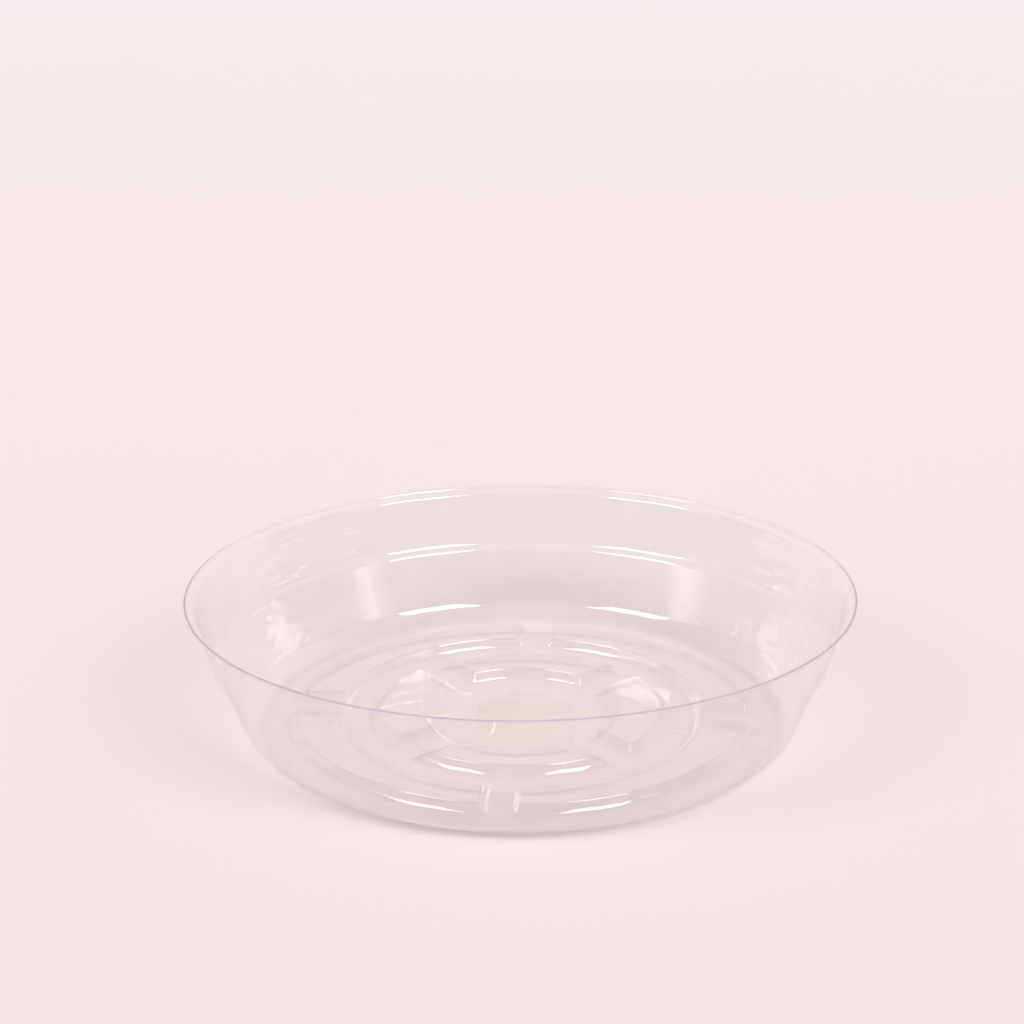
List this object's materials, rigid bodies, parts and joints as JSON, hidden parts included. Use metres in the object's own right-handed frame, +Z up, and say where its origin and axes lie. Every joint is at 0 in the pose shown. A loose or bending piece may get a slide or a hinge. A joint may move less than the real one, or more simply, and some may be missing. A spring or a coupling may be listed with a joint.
{
  "type": "plant saucer",
  "caption": "Round clear plastic plant saucer with a stepped flaring wall, a notched drain ridge and raised pot rests in its floor, and a blank clear label underneath.",
  "frame": {"origin": "on the table at the centre of the foot", "axes": "+Z up along the saucer's axis, +X and +Y through the notches in the drain ridge"},
  "size_m": [0.1524, 0.1524, 0.033],
  "materials": {
    "clear_vinyl": "clear, glossy, thermoformed sheet",
    "label_film": "clear film with straw-tinted adhesive, no print"
  },
  "bodies": {
    "root": {"saucer_shell": "clear_vinyl", "blank_label": "label_film"}
  },
  "joints": []
}
